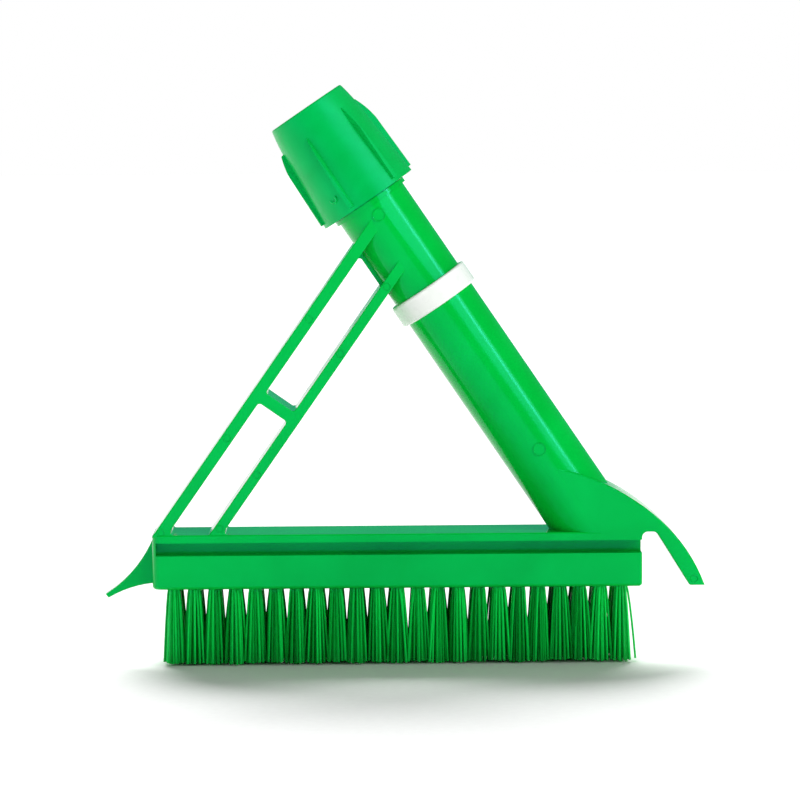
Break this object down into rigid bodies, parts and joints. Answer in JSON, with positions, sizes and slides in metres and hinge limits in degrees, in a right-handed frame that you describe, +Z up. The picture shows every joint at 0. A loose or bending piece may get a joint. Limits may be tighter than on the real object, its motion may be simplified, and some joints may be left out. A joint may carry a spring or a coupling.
{
  "type": "pool wall brush",
  "caption": "Wall and tile brush for pools: one moulded block, strut and pole tube with two scrapers, stapled bristle tufts, a screw clamp for the pole and a split colour ring.",
  "frame": {"origin": "centre of the scrubbing face, where the bristles of the middle tuft end", "axes": "+X along the brush block towards the hooked scraper, +Y across the block, +Z up from the bristle ends to the pole clamp"},
  "size_m": [0.2717, 0.0474, 0.2618],
  "materials": {
    "moulded_green": "moulded polypropylene, glossy",
    "nut_green": "moulded polypropylene, satin",
    "collet_green": "moulded polypropylene",
    "ring_white": "moulded, white",
    "staple_wire": "flat wire",
    "bristle_green": "extruded polypropylene filament"
  },
  "bodies": {
    "brush": {"frame": "moulded_green", "anchor_staples": "staple_wire", "tuft_column_01": "bristle_green", "tuft_column_02": "bristle_green", "tuft_column_03": "bristle_green", "tuft_column_04": "bristle_green", "tuft_column_05": "bristle_green", "tuft_column_06": "bristle_green", "tuft_column_07": "bristle_green", "tuft_column_08": "bristle_green", "tuft_column_09": "bristle_green", "tuft_column_10": "bristle_green", "tuft_column_11": "bristle_green", "tuft_column_12": "bristle_green", "tuft_column_13": "bristle_green", "tuft_column_14": "bristle_green", "tuft_column_15": "bristle_green", "tuft_column_16": "bristle_green", "tuft_column_17": "bristle_green", "tuft_column_18": "bristle_green", "tuft_column_19": "bristle_green", "tuft_column_20": "bristle_green", "tuft_column_21": "bristle_green", "tuft_column_22": "bristle_green", "tuft_column_23": "bristle_green"},
    "collet": {"grip_collet": "collet_green"},
    "nut": {"clamp_nut": "nut_green"},
    "ring": {"colour_ring": "ring_white"}
  },
  "joints": [
    {"name": "collet_slide", "type": "slide", "parent": "brush", "child": "collet", "axis": [-0.5606, 0, 0.8281], "range_m": [0, 0.005]},
    {"name": "nut_turn", "type": "hinge", "parent": "collet", "child": "nut", "pos_m": [-0.01189, 0, 0.2103], "axis": [-0.5606, 0, 0.8281], "range_deg": [0, 721]},
    {"name": "ring_turn", "type": "hinge", "parent": "brush", "child": "ring", "pos_m": [0.0144, 0, 0.17146], "axis": [-0.5606, 0, 0.8281], "continuous": true}
  ],
  "couplings": [
    {"joint": "nut_turn", "follows": "collet_slide", "rad_per_m": 2513.3}
  ]
}
